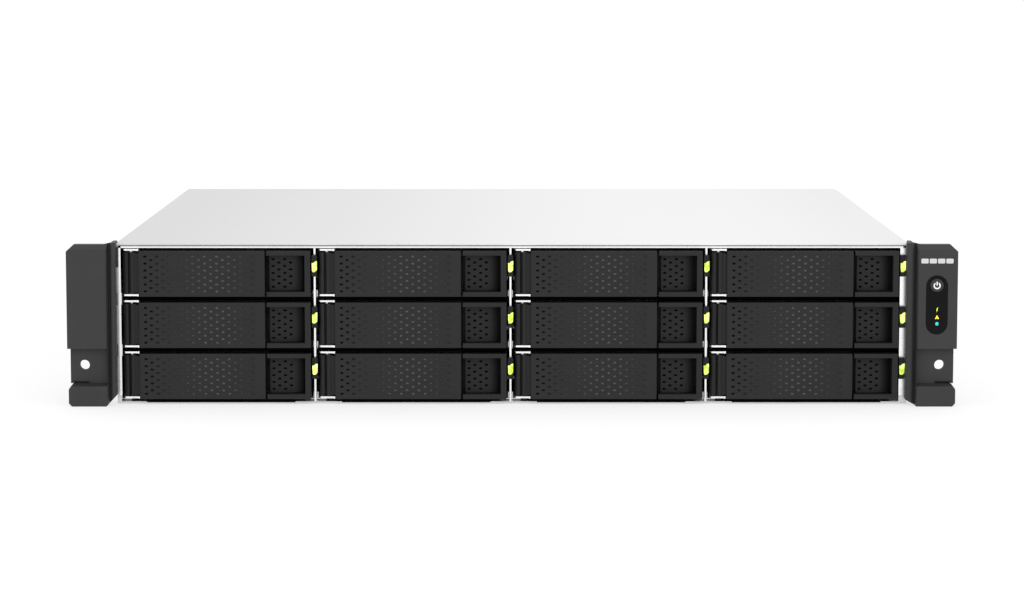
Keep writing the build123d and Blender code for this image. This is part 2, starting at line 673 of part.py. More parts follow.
def ear_body(inner_x):
    """The left ear's full section, drawn from above: front, groove, inner rib, and rear wing."""
    half = PANEL_WIDTH / 2
    step_y = CHASSIS_FRONT_Y - 0.2
    wing_x = -217.9
    rib_x = -inner_x + 0.3
    rib = ThreePointArc((-EAR_RIB_X, EAR_RIB_Y + 0.4), (-EAR_RIB_X + 1.2, EAR_RIB_Y), (rib_x, EAR_RIB_Y + 0.9))
    groove = Polyline((-half, EAR_FRONT_Y), (-EAR_INNER_X - 0.5, EAR_FRONT_Y), (-EAR_INNER_X, EAR_FRONT_Y + 0.6),
                      (-EAR_INNER_X + 0.4, EAR_GROOVE_Y), (-EAR_RIB_X - 0.4, EAR_GROOVE_Y),
                      (-EAR_RIB_X, EAR_RIB_Y + 0.4))
    rest = Polyline((rib_x, EAR_RIB_Y + 0.9), (rib_x, step_y - 2), (-inner_x, step_y - 2), (-inner_x, step_y),
                    (-WALL_OUT_X, step_y), (-WALL_OUT_X, WING_Y1), (wing_x, WING_Y1), (wing_x, EAR_BACK_Y),
                    (-half, EAR_BACK_Y), (-half, EAR_FRONT_Y))
    return extrude(make_face([groove, rib, rest]), PANEL_HEIGHT)


def ear_zone_cuts():
    """The recessed fastening zone: its floor, its narrower edge, the slit over the foot, the rack hole."""
    half = PANEL_WIDTH / 2
    front = EAR_FRONT_Y - 1
    back = EAR_BACK_Y + 1
    zone = [(front, FOOT_FRONT_Z), (EAR_FRONT_Y, FOOT_FRONT_Z), (EAR_ZONE_Y, FOOT_BACK_Z),
            (EAR_ZONE_Y, EAR_BLOCK_Z0), (front, EAR_BLOCK_Z0)]
    return [
        side_prism(zone, -half - 1, -EAR_INNER_X),
        block(-half - 1, -half + 1.1, front, back, FOOT_BACK_Z, EAR_BLOCK_Z0),
        block(-half + 2.3, -half + 11.3, EAR_ZONE_Y - 0.1, EAR_ZONE_Y + 3, FOOT_BACK_Z - 0.4, FOOT_BACK_Z + 1.1),
        rod_y(-RACK_HOLE_SPACING / 2, front, back, RACK_HOLE_Z, RACK_HOLE_R),
    ]


def ear_edge_cuts(slope_z):
    """The sloped top, the cut corners, and the foot's chamfers; its inner slope ends at slope_z."""
    half = PANEL_WIDTH / 2
    front = EAR_FRONT_Y - 1
    back = EAR_BACK_Y + 1
    over = PANEL_HEIGHT + 1.1
    foot_x = -half + 0.5
    bevel = [(front, 84.9), (EAR_FRONT_Y + 4.75, PANEL_HEIGHT), (EAR_FRONT_Y + 4.75, over), (front, over)]
    low_top = [(-half - 1, 88.1), (-221.5, 88.1), (-217.9, PANEL_HEIGHT), (-217.9, over), (-half - 1, over)]
    corner = [(-half - 1, 83.64), (-235.8, 89.86), (-half - 1, 89.86)]
    foot_top = [(foot_x - 1.5, FOOT_BACK_Z), (foot_x + 1.9, FOOT_BACK_Z), (foot_x, 9.4), (foot_x - 1.5, 9.4)]
    foot_corner = [(foot_x + 2.7, -1), (foot_x - 1, 2.7), (foot_x - 1, -1)]
    inner_slope = [(-221.3, -1), (-213, slope_z), (-213, -1)]
    return [
        side_prism(bevel, -half - 1, -213),
        front_prism(low_top, front, back),
        front_prism(corner, front, back),
        block(-half - 1, foot_x, front, back, -1, FOOT_BACK_Z),
        front_prism(foot_top, front, back),
        front_prism(foot_corner, front, back),
        front_prism(inner_slope, front, WING_Y1 + 1),
    ]


def ear(inner_x, slope_z):
    """An ear on the left side: upper block, recessed fastening zone with its hole, and foot."""
    return cut(ear_body(inner_x), ear_zone_cuts() + ear_edge_cuts(slope_z))


def left_ear():
    """The left ear, with small tabs that lap over the chassis's front edge."""
    y0 = CHASSIS_FRONT_Y - 1.6
    y1 = CHASSIS_FRONT_Y - 0.2
    tabs = [block(-216, -214.4, y0, y1, 75, 86)]
    for row in range(ROWS - 1):
        edge_z = row_z(row) + ROW_PITCH / 2
        tabs.append(block(-216, -215.0, y0, y1, edge_z - 3.3, edge_z + 3.3))
    return fuse([ear(215.6, 8.0)] + tabs)


def window_prism(grow, y0, y1):
    """A stadium standing upright at the window's place."""
    r = WINDOW_HALF_W + grow
    straight = WINDOW_H / 2 - WINDOW_HALF_W
    middle = block(WINDOW_X - r, WINDOW_X + r, y0, y1, WINDOW_Z - straight, WINDOW_Z + straight)
    top = rod_y(WINDOW_X, y0, y1, WINDOW_Z + straight, r)
    bottom = rod_y(WINDOW_X, y0, y1, WINDOW_Z - straight, r)
    return fuse([middle, top, bottom])


def right_ear():
    """The right ear: the left one mirrored, with the window pocket and the button's well."""
    body = mirror(ear(214.7, 3.9), Plane.YZ)
    pocket = window_prism(0.1, EAR_FRONT_Y - 1, EAR_FRONT_Y + 1.6)
    well = rod_y(WINDOW_X, EAR_FRONT_Y + 1, EAR_FRONT_Y + 6, BUTTON_Z, BUTTON_R + 0.4)
    return cut(body, [pocket, well])


def indicator_window():
    """The window plate, with a hole for the button."""
    plate = window_prism(0, EAR_FRONT_Y + 0.2, EAR_FRONT_Y + 1.6)
    return plate - rod_y(WINDOW_X, EAR_FRONT_Y - 1, EAR_FRONT_Y + 3, BUTTON_Z, BUTTON_R + 0.3)


def power_button():
    """A round button with a thinner stem."""
    cap = rod_y(WINDOW_X, EAR_FRONT_Y, EAR_FRONT_Y + 3.0, BUTTON_Z, BUTTON_R)
    stem = rod_y(WINDOW_X, EAR_FRONT_Y + 3.0, EAR_FRONT_Y + 4.6, BUTTON_Z, 2.0)
    return cap + stem


def save_all():
    save_trays()
    save("chassis_base", *chassis_base())
    save("top_cover", *top_cover())
    save("drive_cage", *drive_cage())
    save("bay_guides", *bay_guides())
    save("light_pipes", *light_pipes())
    save("backplane", *backplane())
    save("fan_wall", *fan_wall())
    for number, x in enumerate(FAN_XS, 1):
        y0 = FAN_WALL_Y + SHEET + 2.5
        save(f"fan_rotor_{number}", rotor(x, y0, FAN_Z, 17.0, 16.5, 36.8, 1))
    save("mainboard", *mainboard())
    save("cpu_heatsink", heatsink())
    save("memory_modules", *memory_modules())
    save("rear_panel", *rear_panel())
    for number, z0 in enumerate(PSU_ZS, 1):
        save(f"psu_{number}", *power_supply(z0))
        save(f"psu_latch_{number}", power_supply_latch(z0))
        fan_x = PSU_X0 + 21
        fan_z = z0 + PSU_H / 2
        fan_y0 = CHASSIS_REAR_Y - 17.6
        save(f"psu_fan_rotor_{number}", rotor(fan_x, fan_y0, fan_z, 12.0, 9.0, 16.2, -1))
    save("ear_left", left_ear())
    save("ear_right", right_ear())
    save("indicator_window", indicator_window())
    save("power_button", power_button())


save_all()
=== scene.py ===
from math import cos, pi, radians, sin

import bmesh
import bpy
from mathutils import Matrix, Vector


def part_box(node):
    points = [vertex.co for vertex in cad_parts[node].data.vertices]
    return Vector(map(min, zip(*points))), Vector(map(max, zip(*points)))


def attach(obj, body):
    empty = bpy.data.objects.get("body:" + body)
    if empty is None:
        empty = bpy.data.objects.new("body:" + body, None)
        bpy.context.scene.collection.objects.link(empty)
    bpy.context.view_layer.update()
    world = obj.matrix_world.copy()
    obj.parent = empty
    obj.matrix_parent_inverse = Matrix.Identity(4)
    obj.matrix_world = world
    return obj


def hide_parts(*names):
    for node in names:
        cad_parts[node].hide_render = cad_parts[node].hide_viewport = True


# The looks of a two-unit rack storage server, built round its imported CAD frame.
# Shapes are drawn in millimetres and turned into metres when their mesh is made.

MM = 0.001
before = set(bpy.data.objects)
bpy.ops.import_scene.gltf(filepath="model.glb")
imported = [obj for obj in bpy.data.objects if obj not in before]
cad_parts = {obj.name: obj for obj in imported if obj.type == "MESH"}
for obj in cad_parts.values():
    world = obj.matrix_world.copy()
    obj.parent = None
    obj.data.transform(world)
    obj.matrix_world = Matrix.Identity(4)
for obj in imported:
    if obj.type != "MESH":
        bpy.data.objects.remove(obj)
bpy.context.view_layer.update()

# Tray front, in tray coordinates: x from the tray's left side, y from the
# handle's front plane, z from the row's centre
TRAY_W = 102.4
FRONT_HALF_H = 12.45
BARREL = (4.5, 5.9, 4.4)         # x, y and radius
BARREL_Z = (-11.0, 11.6)
BARREL_LEFT = BARREL[0] - BARREL[2]
PANEL_X = (9.0, 77.6)
PANEL_T = 2.0
MESH_T = 0.6                     # thickness of the panel's perforated skin
RECESS_X0 = 78.6
RECESS_INNER_X1 = 99.3
RECESS_Z = (-9.85, 10.05)
PLATE_Y = (12.0, 14.0)
SLED_Y1 = 166.0
DRIVE_HALF_H = 13.05
DRIVE_Y = (18.0, 165.0)
SLED_T = 0.4
DIVIDER_DX = TRAY_W + 2.15       # a divider's middle, from its left tray's side

# Perforation of the handles and the latches
HOLE_W = 2.0
HOLE_H = 1.06
HOLE_PITCH_X = 3.24
HOLE_PITCH_Z = 3.8

# Chassis, in the object's own coordinates
CHASSIS_FRONT_Y = -200.0
CHASSIS_REAR_Y = 193.0
EAR_FRONT_Y = -212.0
COVER_HALF_W = 216.9
COVER_NOSE_HALF_W = 215.6
COVER_Y = (-200.2, -192.1, 194.1)    # nose, start of the side lips, rear
COVER_TOP_Z = 87.8
COVER_LIP_X1 = 134.0             # the rear lip stops beside the power supplies
WINDOW_X = 230.1
BUTTON_Z = 66.2
BOARD_TOP_Z = 7.6
NETWORK_PORTS_X = (-188, -170, -152, -134)
DATA_PORTS_X = (-110.5, -92.5)
PSU_X0 = 139.0
PSU_ZS = (2.0, 44.0)
PSU_FAN_DX = 21.0                # fan's middle, from the case's left side and its floor
PSU_FAN_DZ = 20.0
GUARD_RADII = (5.0, 9.0, 13.0, 17.0)
MODULE_X0 = -97.0                # first memory module's middle, and the step to the next
MODULE_PITCH = 9.0
CHIP_Y0 = 52.0
CHIP_PITCH = 12.6
COVER_SCREWS_X = (-180, -30, 120)
COVER_SCREWS_Z = COVER_TOP_Z - 4.6
BLANK_SCREWS = [(x, z) for z in (39, 65) for x in (-59, 57)]
PANEL_SCREWS = [(x, z) for x in (-211, -70, 66, 132) for z in (6, 80)]
FLANGES_X = ((-214.4, -213.2), (211.4, 214.1))
FLANGES_Z = (4.5, 85.5)

BAYS = [f"{number:02d}" for number in range(1, 13)]
BOTTOM_BAYS = BAYS[8:]
WIDE = 300.0                     # a node's solid wider than this is its board or sheet
SMOOTH_ANGLE = 35                # in degrees; sharper edges stay sharp in shading

# Stage and camera, in metres and degrees
WORLD_STRENGTH = 1.02
FLOOR_SHADE = 0.40
FLOOR_GLOW = 0.62
FLOOR_HALF = 40000               # in millimetres
LENS = 110.7
CAMERA_AHEAD = 1.6945            # in front of the ears
CAMERA_Z = 0.2474
CAMERA_TILT = 6.34


# ------------------------------------------------------------------ meshes

def add_block(bm, x0, x1, y0, y1, z0, z1):
    """A closed box between two corners."""
    corners = [bm.verts.new((x, y, z)) for x in (x0, x1) for y in (y0, y1) for z in (z0, z1)]
    for face in ((0, 1, 3, 2), (4, 6, 7, 5), (0, 4, 5, 1), (2, 3, 7, 6), (0, 2, 6, 4), (1, 5, 7, 3)):
        bm.faces.new([corners[i] for i in face])


def add_prism(bm, outline, low, high, axis="Z"):
    """A closed prism over a flat outline. Axis Z takes (x, y) points, Y takes (x, z), X takes (y, z)."""
    def place(point, depth):
        a, b = point
        return {"Z": (a, b, depth), "Y": (a, depth, b), "X": (depth, a, b)}[axis]
    bottom = [bm.verts.new(place(p, low)) for p in outline]
    top = [bm.verts.new(place(p, high)) for p in outline]
    bm.faces.new(bottom)
    bm.faces.new(reversed(top))
    count = len(outline)
    for i in range(count):
        j = (i + 1) % count
        bm.faces.new((bottom[i], top[i], top[j], bottom[j]))


def add_ring(bm, x, y, z, radius, wire, count=36):
    """A wire ring that faces the rear."""
    sides = 8
    loops = []
    for i in range(count):
        a = 2 * pi * i / count
        loop = []
        for k in range(sides):
            b = 2 * pi * k / sides
            r = radius + wire * cos(b)
            loop.append(bm.verts.new((x + r * cos(a), y + wire * sin(b), z + r * sin(a))))
        loops.append(loop)
    for i in range(count):
        here, there = loops[i], loops[(i + 1) % count]
        for k in range(sides):
            m = (k + 1) % sides
            bm.faces.new((here[k], here[m], there[m], there[k]))


def arc(x, z, r, start, end, count):
    """Points along an arc, with its angles in degrees."""
    angles = [radians(start + (end - start) * i / count) for i in range(count + 1)]
    return [(x + r * cos(a), z + r * sin(a)) for a in angles]


def circle(x, z, r, count=32):
    """Points round a circle."""
    return arc(x, z, r, 0, 360, count)[:-1]


def rounded(x0, x1, z0, z1, r, count=4):
    """A rectangle with rounded corners."""
    points = arc(x1 - r, z1 - r, r, 0, 90, count)
    points += arc(x0 + r, z1 - r, r, 90, 180, count)
    points += arc(x0 + r, z0 + r, r, 180, 270, count)
    return points + arc(x1 - r, z0 + r, r, 270, 360, count)


def band(x, z, inner, outer, start, end, count=40):
    """An arc-shaped band."""
    return arc(x, z, outer, start, end, count) + arc(x, z, inner, end, start, count)


def lens_hole(x, z):
    """One flattened six-sided hole."""
    half_w = HOLE_W / 2
    half_h = HOLE_H / 2
    flat = half_w * 0.45
    return [(x - half_w, z), (x - flat, z + half_h), (x + flat, z + half_h),
            (x + half_w, z), (x + flat, z - half_h), (x - flat, z - half_h)]


def finish_mesh(bm, name):
    """The mesh in metres, with all faces turned outwards."""
    bmesh.ops.recalc_face_normals(bm, faces=bm.faces)
    bmesh.ops.scale(bm, vec=(MM, MM, MM), verts=bm.verts)
    mesh = bpy.data.meshes.new(name)
    bm.to_mesh(mesh)
    bm.free()
    return mesh


def merge(bm, other):
    """Adds another bmesh to this one and frees it."""
    mesh = bpy.data.meshes.new("part")
    other.to_mesh(mesh)
    other.free()
    bm.from_mesh(mesh)
    bpy.data.meshes.remove(mesh)


def perforated_plate(outline, holes, y0, y1, edge=0.12):
    """A plate facing -Y with through holes and slightly rounded rims, as a bmesh in millimetres."""
    curve = bpy.data.curves.new("outline", "CURVE")
    curve.dimensions = "2D"
    curve.fill_mode = "BOTH"
    curve.bevel_depth = edge
    curve.bevel_resolution = 1
    curve.extrude = (y1 - y0) / 2 - edge
    curve.offset = -edge
    for loop in [outline] + holes:
        spline = curve.splines.new("POLY")
        spline.points.add(len(loop) - 1)
        for point, (x, z) in zip(spline.points, loop):
            point.co = (x, z, 0, 1)
        spline.use_cyclic_u = True
    holder = bpy.data.objects.new("outline", curve)
    mesh = bpy.data.meshes.new_from_object(holder)
    stand = Matrix.Translation((0, (y0 + y1) / 2, 0)) @ Matrix.Rotation(radians(90), 4, "X")
    bm = bmesh.new()
    bm.from_mesh(mesh)
    bmesh.ops.remove_doubles(bm, verts=bm.verts, dist=0.001)
    bmesh.ops.transform(bm, matrix=stand, verts=bm.verts)
    bpy.data.objects.remove(holder)
    bpy.data.curves.remove(curve)
    bpy.data.meshes.remove(mesh)
    return bm


def soften(obj, width, angle=SMOOTH_ANGLE):
    """Rounds the edges of a piece."""
    bevel = obj.modifiers.new("edges", "BEVEL")
    bevel.width = width * MM
    bevel.segments = 2
    bevel.limit_method = "ANGLE"
    bevel.angle_limit = radians(angle)
    bevel.harden_normals = True
    bevel.use_clamp_overlap = True


def piece(name, mesh, body, material, place=(0, 0, 0), edge=0.0, stands_for=()):
    """One visible piece, placed and riding on its CAD body."""
    obj = bpy.data.objects.new(name, mesh)
    bpy.context.scene.collection.objects.link(obj)
    obj.location = place
    if not mesh.materials:
        mesh.materials.append(material)
        mesh.polygons.foreach_set("use_smooth", [True] * len(mesh.polygons))
        mesh.set_sharp_from_angle(angle=radians(SMOOTH_ANGLE))
    if edge:
        soften(obj, edge)
    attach(obj, body)
    if stands_for:
        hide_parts(*stands_for)
    return obj


# --------------------------------------------------------------- materials

def nodes_of(material):
    """The material's node tree and its shader."""
    material.use_nodes = True
    tree = material.node_tree
    return tree, tree.nodes["Principled BSDF"]


def noise(tree, scale, detail=4.0, stretch=(1, 1, 1), roughness=0.55):
    """A noise texture in object space."""
    coords = tree.nodes.new("ShaderNodeTexCoord")
    mapping = tree.nodes.new("ShaderNodeMapping")
    mapping.inputs["Scale"].default_value = stretch
    texture = tree.nodes.new("ShaderNodeTexNoise")
    texture.inputs["Scale"].default_value = scale
    texture.inputs["Detail"].default_value = detail
    texture.inputs["Roughness"].default_value = roughness
    tree.links.new(coords.outputs["Object"], mapping.inputs["Vector"])
    tree.links.new(mapping.outputs["Vector"], texture.inputs["Vector"])
    return texture


def ramp(tree, source, stops):
    """A colour ramp over a value, from (position, colour) stops."""
    node = tree.nodes.new("ShaderNodeValToRGB")
    elements = node.color_ramp.elements
    while len(elements) < len(stops):
        elements.new(0.5)
    for element, (position, colour) in zip(elements, stops):
        element.position = position
        element.color = colour
    tree.links.new(source, node.inputs["Fac"])
    return node.outputs["Color"]


def grey(value):
    """A neutral colour."""
    return (value, value, value, 1.0)


def tint(colour, gain):
    """The colour made lighter or darker."""
    return tuple(min(1.0, c * gain) for c in colour) + (1.0,)


def bump(tree, shader, source, strength, distance):
    """Surface relief from a value."""
    node = tree.nodes.new("ShaderNodeBump")
    node.inputs["Strength"].default_value = strength
    node.inputs["Distance"].default_value = distance
    tree.links.new(source, node.inputs["Height"])
    tree.links.new(node.outputs["Normal"], shader.inputs["Normal"])


def moulded(name, colour, roughness, grain=2600.0, grain_depth=0.00003, cloud=0.06, gloss=0.3):
    """Moulded plastic: a fine grain, and a faint unevenness of colour and gloss."""
    material = bpy.data.materials.new(name)
    tree, shader = nodes_of(material)
    shader.inputs["Specular IOR Level"].default_value = gloss
    cloudy = noise(tree, 38.0, 3.0).outputs["Fac"]
    colours = ramp(tree, cloudy, [(0.35, tint(colour, 1 - cloud)), (0.65, tint(colour, 1 + cloud))])
    tree.links.new(colours, shader.inputs["Base Color"])
    fine = noise(tree, grain, 2.0).outputs["Fac"]
    sheen = ramp(tree, fine, [(0.35, grey(roughness - 0.06)), (0.65, grey(roughness + 0.06))])
    tree.links.new(sheen, shader.inputs["Roughness"])
    bump(tree, shader, fine, 0.35, grain_depth)
    return material


def sheet_metal(name, colour, roughness, stretch=(1, 18, 18), scale=60.0, depth=0.00001, spread=0.08):
    """Rolled sheet metal with fine lines and a faint mottling."""
    material = bpy.data.materials.new(name)
    tree, shader = nodes_of(material)
    shader.inputs["Metallic"].default_value = 1.0
    mottle = noise(tree, 24.0, 3.0).outputs["Fac"]
    colours = ramp(tree, mottle, [(0.35, tint(colour, 0.95)), (0.65, tint(colour, 1.04))])
    tree.links.new(colours, shader.inputs["Base Color"])
    lines = noise(tree, scale, 5.0, stretch).outputs["Fac"]
    sheen = ramp(tree, lines, [(0.35, grey(roughness - spread)), (0.65, grey(roughness + spread))])
    tree.links.new(sheen, shader.inputs["Roughness"])
    bump(tree, shader, lines, 0.2, depth)
    return material


def across(tree, x0, x1):
    """How far along the object's width a point lies, from 0 at x0 to 1 at x1, in millimetres."""
    coords = tree.nodes.new("ShaderNodeTexCoord")
    split = tree.nodes.new("ShaderNodeSeparateXYZ")
    tree.links.new(coords.outputs["Object"], split.inputs["Vector"])
    scaled = tree.nodes.new("ShaderNodeMapRange")
    scaled.inputs["From Min"].default_value = x0 * MM
    scaled.inputs["From Max"].default_value = x1 * MM
    tree.links.new(split.outputs["X"], scaled.inputs["Value"])
    return scaled.outputs["Result"]


def painted(name, painted_light_stops, roughness):
    """Powder-coated sheet: a faint orange peel, and painted light and shade from left to right."""
    material = bpy.data.materials.new(name)
    tree, shader = nodes_of(material)
    shader.inputs["Specular IOR Level"].default_value = 0.3
    stops = [((x + COVER_HALF_W) / (2 * COVER_HALF_W), grey(value)) for x, value in painted_light_stops]
    colours = ramp(tree, across(tree, -COVER_HALF_W, COVER_HALF_W), stops)
    tree.links.new(colours, shader.inputs["Base Color"])
    peel = noise(tree, 1500.0, 2.0).outputs["Fac"]
    sheen = ramp(tree, peel, [(0.3, grey(roughness - 0.03)), (0.7, grey(roughness + 0.03))])
    tree.links.new(sheen, shader.inputs["Roughness"])
    bump(tree, shader, peel, 0.15, 0.00001)
    return material


def graded(name, stops, roughness):
    """A dark sheet with painted light and shade across the tray's width: near black at the left, lightest in
    the middle, darker towards the right.

    The stops are (x in tray millimetres, value)."""
    material = bpy.data.materials.new(name)
    tree, shader = nodes_of(material)
    shader.inputs["Roughness"].default_value = roughness
    shader.inputs["Specular IOR Level"].default_value = 0.1
    colours = ramp(tree, across(tree, 0, TRAY_W), [(x / TRAY_W, grey(value)) for x, value in stops])
    tree.links.new(colours, shader.inputs["Base Color"])
    fibres = noise(tree, 1400.0, 3.0).outputs["Fac"]
    bump(tree, shader, fibres, 0.3, 0.00004)
    return material


def glowing(name, rim, core, strength):
    """A lit lens, uneven in brightness."""
    material = bpy.data.materials.new(name)
    tree, shader = nodes_of(material)
    shader.inputs["Roughness"].default_value = 0.25
    uneven = noise(tree, 380.0, 1.0).outputs["Fac"]
    colours = ramp(tree, uneven, [(0.35, rim + (1.0,)), (0.6, core + (1.0,))])
    tree.links.new(colours, shader.inputs["Emission Color"])
    tree.links.new(colours, shader.inputs["Base Color"])
    shader.inputs["Emission Strength"].default_value = strength
    return material


def circuit(name, colour):
    """Solder mask with faint tracks."""
    material = bpy.data.materials.new(name)
    tree, shader = nodes_of(material)
    shader.inputs["Roughness"].default_value = 0.38
    coords = tree.nodes.new("ShaderNodeTexCoord")
    brick = tree.nodes.new("ShaderNodeTexBrick")
    brick.inputs["Scale"].default_value = 260.0
    brick.inputs["Mortar Size"].default_value = 0.06
    brick.inputs["Color1"].default_value = tint(colour, 0.9)
    brick.inputs["Color2"].default_value = tint(colour, 1.0)
    brick.inputs["Mortar"].default_value = tint(colour, 1.7)
    tree.links.new(coords.outputs["Object"], brick.inputs["Vector"])
    tree.links.new(brick.outputs["Color"], shader.inputs["Base Color"])
    bump(tree, shader, brick.outputs["Fac"], 0.3, 0.00003)
    return material


HANDLE = moulded("handle_plastic", (0.0185, 0.0185, 0.0188), 0.52, gloss=0.2)
# The barrel is the handle's plastic made darker: painted shade for the hinge's recess.
BARREL_SHADED = moulded("barrel_plastic_painted_shade", (0.011, 0.011, 0.0113), 0.50, gloss=0.27)
BEZEL = moulded("tray_plastic", (0.016, 0.016, 0.0165), 0.50, gloss=0.22)
LATCH = moulded("latch_plastic", (0.010, 0.010, 0.0103), 0.50, gloss=0.25)
BLACK = moulded("black_plastic", (0.007, 0.007, 0.0074), 0.45, gloss=0.25)
# Near-black for strips in gaps and seams between parts: painted shade.
SHADE_BLACK = moulded("painted_shade_black", (0.002, 0.002, 0.002), 0.90, grain=900.0, grain_depth=0.0002, gloss=0.02)
EAR = moulded("ear_plastic", (0.033, 0.033, 0.0335), 0.55, grain=1800.0, grain_depth=0.00005)
WINDOW = moulded("gloss_black", (0.004, 0.004, 0.0045), 0.16, grain_depth=0.000002, cloud=0.02, gloss=0.10)
BUTTON = moulded("button_black", (0.036, 0.036, 0.037), 0.30, grain_depth=0.000004, cloud=0.02, gloss=0.2)
LEVER = moulded("lever_plastic", (0.16, 0.010, 0.008), 0.42)
# Painted light and shade on the cover: darker at the left, lightest right of the middle, standing in for how
# the lamps fall on it.
COVER_PAINTED_LIGHT = [(-200, 0.64), (-100, 0.71), (0, 0.80), (70, 0.845), (130, 0.845), (205, 0.79)]
COVER = painted("cover_paint", COVER_PAINTED_LIGHT, 0.45)
ZINC = sheet_metal("zinc_steel", (0.66, 0.67, 0.68), 0.34)
BRIGHT = sheet_metal("bright_steel", (0.93, 0.93, 0.93), 0.26, stretch=(18, 1, 1), scale=120.0)
FACING = sheet_metal("flange_steel", (0.95, 0.95, 0.95), 0.24, stretch=(1, 1, 4), depth=0.000002, spread=0.02)
CAST = sheet_metal("drive_casting", (0.40, 0.41, 0.42), 0.46, stretch=(1, 1, 1), scale=700.0, depth=0.00003)
LID = sheet_metal("drive_lid", (0.74, 0.75, 0.76), 0.28, stretch=(1, 12, 1), scale=90.0)
ALUMINIUM = sheet_metal("aluminium", (0.84, 0.85, 0.86), 0.33, stretch=(1, 26, 1), scale=80.0)
GOLD = sheet_metal("gold_contacts", (0.83, 0.60, 0.22), 0.25)
BOARD = circuit("circuit_board", (0.010, 0.085, 0.040))
LABEL = moulded("paper_label", (0.72, 0.72, 0.70), 0.60, grain_depth=0.000004)
BADGE = moulded("badge_paint", (0.62, 0.62, 0.62), 0.45, grain_depth=0.000004)
# Painted light and shade seen through the handle's holes: black by the hinge, lit in the middle.
BACKING_PAINTED_LIGHT = [(9, 0.001), (15, 0.002), (19, 0.025), (24, 0.050), (34, 0.08), (45, 0.155), (56, 0.155),
                 (64, 0.085), (70, 0.05)]
PAINTED_LIGHT_BACKING = graded("handle_backing_painted_light", BACKING_PAINTED_LIGHT, 0.8)
GREEN_LENS = glowing("green_lens", (0.30, 0.46, 0.02), (0.78, 0.95, 0.22), 1.0)
ICON_GREEN = glowing("icon_green", (0.42, 0.60, 0.02), (0.58, 0.72, 0.04), 0.8)
ICON_YELLOW = glowing("icon_yellow", (0.68, 0.52, 0.02), (0.80, 0.68, 0.04), 0.8)
ICON_CYAN = glowing("icon_cyan", (0.01, 0.36, 0.40), (0.04, 0.52, 0.56), 0.8)
ICON_WHITE = glowing("icon_white", (0.55, 0.55, 0.56), (0.68, 0.68, 0.69), 0.5)


def bay_origin(number):
    """Where a tray's own coordinates start, in metres."""
    low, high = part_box(f"tray_handle_{number}")
    return Vector((low.x - BARREL_LEFT * MM, low.y, (low.z + high.z) / 2))


# ------------------------------------------------------------------- trays

def staggered(x0, columns, rows, pitch_x, z0=0.0):
    """Columns of holes, each second one shifted by half a step and one hole shorter."""
    holes = []
    for column in range(columns):
        count = rows - column % 2
        for row in range(count):
            holes.append(lens_hole(x0 + column * pitch_x, z0 + (row - (count - 1) / 2) * HOLE_PITCH_Z))
    return holes


def handle_mesh():
    """The swing-out lever's panel, with its perforation, frame, flanges and catch."""
    outline = rounded(PANEL_X[0], PANEL_X[1], -FRONT_HALF_H, FRONT_HALF_H, 0.35, 2)
    holes = staggered(PANEL_X[0] + 3.6, 19, 6, HOLE_PITCH_X)
    bm = perforated_plate(outline, holes, 0, MESH_T, 0.12)
    rim = [rounded(PANEL_X[0] + 1.9, PANEL_X[1] - 1.9, -FRONT_HALF_H + 1.2, FRONT_HALF_H - 1.2, 0.4, 2)]
    merge(bm, perforated_plate(outline, rim, MESH_T, PANEL_T, 0.05))
    add_block(bm, PANEL_X[0] + 3, PANEL_X[1] - 0.1, PANEL_T, 7.5, 11.25, 12.4)
    add_block(bm, PANEL_X[0] + 3, PANEL_X[1] - 0.1, PANEL_T, 7.5, -12.4, -11.25)
    add_block(bm, PANEL_X[1] - 2.4, PANEL_X[1] - 0.1, PANEL_T, 9.5, -3, 3)
    return finish_mesh(bm, "handle")


def backing_mesh():
    """A sheet behind the panel's holes, coloured with the painted light and shade seen through them."""
    bm = bmesh.new()
    add_block(bm, PANEL_X[0] + 1.95, PANEL_X[1] - 1.95, MESH_T + 0.05, PANEL_T - 0.1, -11.2, 11.2)
    return finish_mesh(bm, "backing")


def barrel_mesh():
    """The hinge barrel in two ribs with a groove between them, and the arm to the panel."""
    x, y, r = BARREL
    left_rib = [(0.1, 5.9), (0.15, 4.4), (0.4, 3.1), (1.0, 2.3), (1.9, 1.85), (2.9, 1.75), (3.3, 2.2)]
    groove = [(3.4, 3.6), (4.0, 3.6)]
    right_rib = [(4.1, 2.2), (4.5, 1.65), (5.4, 1.55), (6.6, 1.9), (7.7, 2.7), (8.5, 4.1), (8.9, 5.9)]
    outline = left_rib + groove + right_rib + arc(x, y, r, 15, 165, 14)
    bm = bmesh.new()
    add_prism(bm, outline, *BARREL_Z)
    add_block(bm, x, PANEL_X[0] + 1.6, PANEL_T, 8.0, BARREL_Z[0] + 0.6, BARREL_Z[1] - 0.6)
    return finish_mesh(bm, "barrel")


def latch_mesh():
    """The push paddle: slotted at its left, curving back into the recess at its right."""
    x0 = RECESS_X0 + 1.2
    x1 = RECESS_INNER_X1 - 1.0
    z0 = RECESS_Z[0] + 0.25
    z1 = RECESS_Z[1] - 0.25
    holes = staggered(x0 + 2.1, 4, 5, 3.17, 0.1)
    bm = perforated_plate(rounded(x0, x1, z0, z1, 0.4, 2), holes, 0, 1.4, 0.1)
    spine = x1 - x0
    strips = 16
    for i in range(1, strips):
        here = (x0 + spine * i / strips, 0, 0)
        geometry = bm.verts[:] + bm.edges[:] + bm.faces[:]
        bmesh.ops.bisect_plane(bm, geom=geometry, plane_co=here, plane_no=(1, 0, 0))
    for vert in bm.verts:
        t = (vert.co.x - x0) / spine
        vert.co.y += 4.6 + 0.35 * t + 2.5 * t ** 4
    return finish_mesh(bm, "latch")


